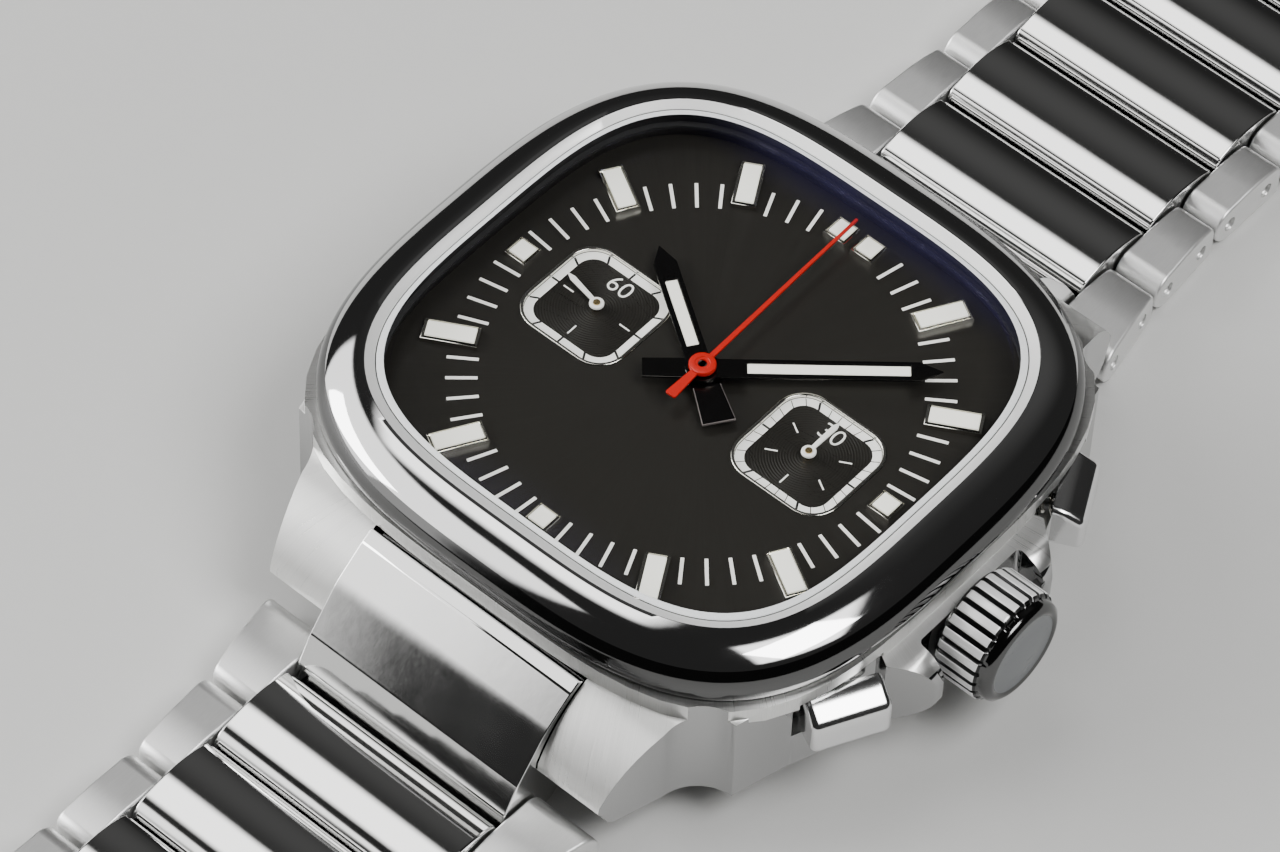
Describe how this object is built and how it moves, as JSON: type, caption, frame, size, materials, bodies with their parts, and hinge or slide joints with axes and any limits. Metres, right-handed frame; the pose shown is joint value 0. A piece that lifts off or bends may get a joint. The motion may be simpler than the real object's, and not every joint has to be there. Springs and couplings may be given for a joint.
{
  "type": "chronograph watch",
  "caption": "Chronograph wristwatch with a cushion-shaped steel case, a convex bezel, a black dial with small dials, a crown, pushers and a link bracelet with a folding clasp.",
  "frame": {"origin": "middle of the case back's flat rest face, under the middle of the dial", "axes": "+X towards 3 o'clock and the crown, +Y towards 12 o'clock along the bracelet, +Z out of the dial"},
  "size_m": [0.0419, 0.1932, 0.0139],
  "materials": {
    "case_steel": "satin brushed, with polished sides",
    "bezel_steel": "mirror polished",
    "polished_steel": "polished",
    "crown_steel": "polished",
    "pusher_steel": "polished",
    "link_steel": "outer pieces satin, centre piece polished",
    "link_polished": "mirror polished",
    "clasp_steel": "satin brushed",
    "blade_steel": "polished",
    "arbor_steel": "turned",
    "gasket": "moulded",
    "crystal_glass": "clear, coated",
    "flange_black": "matt black",
    "dial_black": "sunray satin charcoal black",
    "marker_metal": "polished",
    "lume": "luminous paste",
    "movement_brass": "turned",
    "movement_plate": "nickel plated",
    "blued_screw": "blued",
    "hand_black": "black plated, polished",
    "hand_red": "red paint",
    "hand_white": "white paint"
  },
  "bodies": {
    "case": {"case_middle": "case_steel", "case_back": "polished_steel", "case_back_gasket": "gasket", "case_tubes": "polished_steel", "bezel": "bezel_steel", "crystal": "crystal_glass", "crystal_gasket": "gasket", "flange_ring": "flange_black", "dial": "dial_black", "hour_markers": "marker_metal", "marker_lume": "lume", "subdial_rims": "marker_metal", "movement_ring": "movement_brass", "main_plate": "movement_plate", "train_bridge": "movement_plate", "movement_screws": "blued_screw", "balance_cock": "movement_plate", "spring_bars": "arbor_steel", "end_link_12": "link_polished", "end_link_6": "link_polished", "pusher_spring_upper": "arbor_steel", "pusher_spring_lower": "arbor_steel"},
    "minute": {"minute_hand": "hand_black", "cannon_pinion": "arbor_steel"},
    "hour": {"hour_hand": "hand_black", "hour_wheel": "movement_brass"},
    "minute_wheel": {"minute_wheel": "movement_brass"},
    "small_seconds": {"small_seconds_hand": "hand_white", "seconds_arbor": "movement_brass"},
    "chrono_seconds": {"chrono_seconds_hand": "hand_red", "chrono_arbor": "arbor_steel"},
    "minute_counter": {"minute_counter_hand": "hand_white", "counter_arbor": "movement_brass"},
    "crown_slide": {"crown_gasket": "gasket"},
    "crown": {"crown": "crown_steel", "winding_stem": "arbor_steel"},
    "pusher_upper": {"pusher_upper": "pusher_steel"},
    "pusher_lower": {"pusher_lower": "pusher_steel"},
    "rotor": {"winding_rotor": "movement_plate"},
    "balance": {"balance_wheel": "movement_brass"},
    "link_12_1": {"link_12_1": "link_steel"},
    "link_12_2": {"link_12_2": "link_steel"},
    "link_12_3": {"link_12_3": "link_steel"},
    "link_12_4": {"link_12_4": "link_steel"},
    "link_12_5": {"link_12_5": "link_steel"},
    "link_12_6": {"link_12_6": "link_steel"},
    "link_12_7": {"link_12_7": "link_steel"},
    "link_12_8": {"link_12_8": "link_steel"},
    "link_12_9": {"link_12_9": "link_steel"},
    "link_6_1": {"link_6_1": "link_steel"},
    "link_6_2": {"link_6_2": "link_steel"},
    "link_6_3": {"link_6_3": "link_steel"},
    "link_6_4": {"link_6_4": "link_steel"},
    "link_6_5": {"link_6_5": "link_steel"},
    "link_6_6": {"link_6_6": "link_steel"},
    "link_6_7": {"link_6_7": "link_steel"},
    "link_6_8": {"link_6_8": "link_steel"},
    "clasp_cover": {"clasp_cover": "clasp_steel"},
    "clasp_blade_outer": {"clasp_blade_outer": "blade_steel"},
    "clasp_blade_inner": {"clasp_blade_inner": "blade_steel"}
  },
  "joints": [
    {"name": "minute_turn", "type": "hinge", "parent": "case", "child": "minute", "pos_m": [0, 0, 0.011], "axis": [0, 0, -1], "continuous": true},
    {"name": "hour_turn", "type": "hinge", "parent": "case", "child": "hour", "pos_m": [0, 0, 0.011], "axis": [0, 0, -1], "continuous": true},
    {"name": "minute_wheel_turn", "type": "hinge", "parent": "case", "child": "minute_wheel", "pos_m": [0, -0.006, 0.0096], "axis": [0, 0, -1], "continuous": true},
    {"name": "small_seconds_turn", "type": "hinge", "parent": "case", "child": "small_seconds", "pos_m": [-0.00765, 0, 0.011], "axis": [0, 0, -1], "continuous": true},
    {"name": "chrono_seconds_turn", "type": "hinge", "parent": "case", "child": "chrono_seconds", "pos_m": [0, 0, 0.011], "axis": [0, 0, -1], "continuous": true},
    {"name": "minute_counter_turn", "type": "hinge", "parent": "case", "child": "minute_counter", "pos_m": [0.00765, 0, 0.011], "axis": [0, 0, -1], "continuous": true},
    {"name": "crown_pull", "type": "slide", "parent": "case", "child": "crown_slide", "axis": [1, 0, 0], "range_m": [0, 0.001]},
    {"name": "crown_turn", "type": "hinge", "parent": "crown_slide", "child": "crown", "pos_m": [0.021, 0, 0.0069], "axis": [1, 0, 0], "continuous": true},
    {"name": "pusher_upper_press", "type": "slide", "parent": "case", "child": "pusher_upper", "axis": [-0.8878, -0.4602, 0], "range_m": [0, 0.0008], "stiffness_N_per_m": 2500, "springref_m": -0.0008, "deforming": ["pusher_spring_upper"]},
    {"name": "pusher_lower_press", "type": "slide", "parent": "case", "child": "pusher_lower", "axis": [-0.8878, 0.4602, 0], "range_m": [0, 0.0008], "stiffness_N_per_m": 2500, "springref_m": -0.0008, "deforming": ["pusher_spring_lower"]},
    {"name": "rotor_turn", "type": "hinge", "parent": "case", "child": "rotor", "pos_m": [0, 0, 0.003], "axis": [0, 0, 1], "continuous": true},
    {"name": "balance_swing", "type": "hinge", "parent": "case", "child": "balance", "pos_m": [-0.00537, -0.00537, 0.0045], "axis": [0, 0, 1], "range_deg": [-140, 140], "stiffness_Nm_per_rad": 0.00001},
    {"name": "link_12_1_bend", "type": "hinge", "parent": "case", "child": "link_12_1", "pos_m": [0, 0.0229, 0.00125], "axis": [-1, 0, 0], "range_deg": [-8, 30]},
    {"name": "link_12_2_bend", "type": "hinge", "parent": "link_12_1", "child": "link_12_2", "pos_m": [0, 0.0292, 0.00125], "axis": [-1, 0, 0], "range_deg": [-8, 16]},
    {"name": "link_12_3_bend", "type": "hinge", "parent": "link_12_2", "child": "link_12_3", "pos_m": [0, 0.0355, 0.00125], "axis": [-1, 0, 0], "range_deg": [-8, 16]},
    {"name": "link_12_4_bend", "type": "hinge", "parent": "link_12_3", "child": "link_12_4", "pos_m": [0, 0.0418, 0.00125], "axis": [-1, 0, 0], "range_deg": [-8, 16]},
    {"name": "link_12_5_bend", "type": "hinge", "parent": "link_12_4", "child": "link_12_5", "pos_m": [0, 0.0481, 0.00125], "axis": [-1, 0, 0], "range_deg": [-8, 16]},
    {"name": "link_12_6_bend", "type": "hinge", "parent": "link_12_5", "child": "link_12_6", "pos_m": [0, 0.0544, 0.00125], "axis": [-1, 0, 0], "range_deg": [-8, 16]},
    {"name": "link_12_7_bend", "type": "hinge", "parent": "link_12_6", "child": "link_12_7", "pos_m": [0, 0.0607, 0.00125], "axis": [-1, 0, 0], "range_deg": [-8, 16]},
    {"name": "link_12_8_bend", "type": "hinge", "parent": "link_12_7", "child": "link_12_8", "pos_m": [0, 0.067, 0.00125], "axis": [-1, 0, 0], "range_deg": [-8, 16]},
    {"name": "link_12_9_bend", "type": "hinge", "parent": "link_12_8", "child": "link_12_9", "pos_m": [0, 0.0733, 0.00125], "axis": [-1, 0, 0], "range_deg": [-8, 16]},
    {"name": "link_6_1_bend", "type": "hinge", "parent": "case", "child": "link_6_1", "pos_m": [0, -0.0229, 0.00125], "axis": [1, 0, 0], "range_deg": [-8, 30]},
    {"name": "link_6_2_bend", "type": "hinge", "parent": "link_6_1", "child": "link_6_2", "pos_m": [0, -0.0292, 0.00125], "axis": [1, 0, 0], "range_deg": [-8, 16]},
    {"name": "link_6_3_bend", "type": "hinge", "parent": "link_6_2", "child": "link_6_3", "pos_m": [0, -0.0355, 0.00125], "axis": [1, 0, 0], "range_deg": [-8, 16]},
    {"name": "link_6_4_bend", "type": "hinge", "parent": "link_6_3", "child": "link_6_4", "pos_m": [0, -0.0418, 0.00125], "axis": [1, 0, 0], "range_deg": [-8, 16]},
    {"name": "link_6_5_bend", "type": "hinge", "parent": "link_6_4", "child": "link_6_5", "pos_m": [0, -0.0481, 0.00125], "axis": [1, 0, 0], "range_deg": [-8, 16]},
    {"name": "link_6_6_bend", "type": "hinge", "parent": "link_6_5", "child": "link_6_6", "pos_m": [0, -0.0544, 0.00125], "axis": [1, 0, 0], "range_deg": [-8, 16]},
    {"name": "link_6_7_bend", "type": "hinge", "parent": "link_6_6", "child": "link_6_7", "pos_m": [0, -0.0607, 0.00125], "axis": [1, 0, 0], "range_deg": [-8, 16]},
    {"name": "link_6_8_bend", "type": "hinge", "parent": "link_6_7", "child": "link_6_8", "pos_m": [0, -0.067, 0.00125], "axis": [1, 0, 0], "range_deg": [-8, 16]},
    {"name": "clasp_cover_bend", "type": "hinge", "parent": "link_6_8", "child": "clasp_cover", "pos_m": [0, -0.0733, 0.00125], "axis": [1, 0, 0], "range_deg": [-8, 22]},
    {"name": "clasp_open", "type": "hinge", "parent": "clasp_cover", "child": "clasp_blade_outer", "pos_m": [0, -0.1061, 0.0033], "axis": [1, 0, 0], "range_deg": [-110, 0]},
    {"name": "clasp_unfold", "type": "hinge", "parent": "clasp_blade_outer", "child": "clasp_blade_inner", "pos_m": [0, -0.0789, 0.0018], "axis": [-1, 0, 0], "range_deg": [-120, 0]}
  ],
  "couplings": [
    {"joint": "hour_turn", "follows": "minute_turn", "ratio": 0.083333},
    {"joint": "minute_wheel_turn", "follows": "minute_turn", "ratio": -0.33333},
    {"joint": "small_seconds_turn", "follows": "minute_turn", "ratio": 60},
    {"joint": "minute_counter_turn", "follows": "chrono_seconds_turn", "ratio": 0.033333}
  ]
}
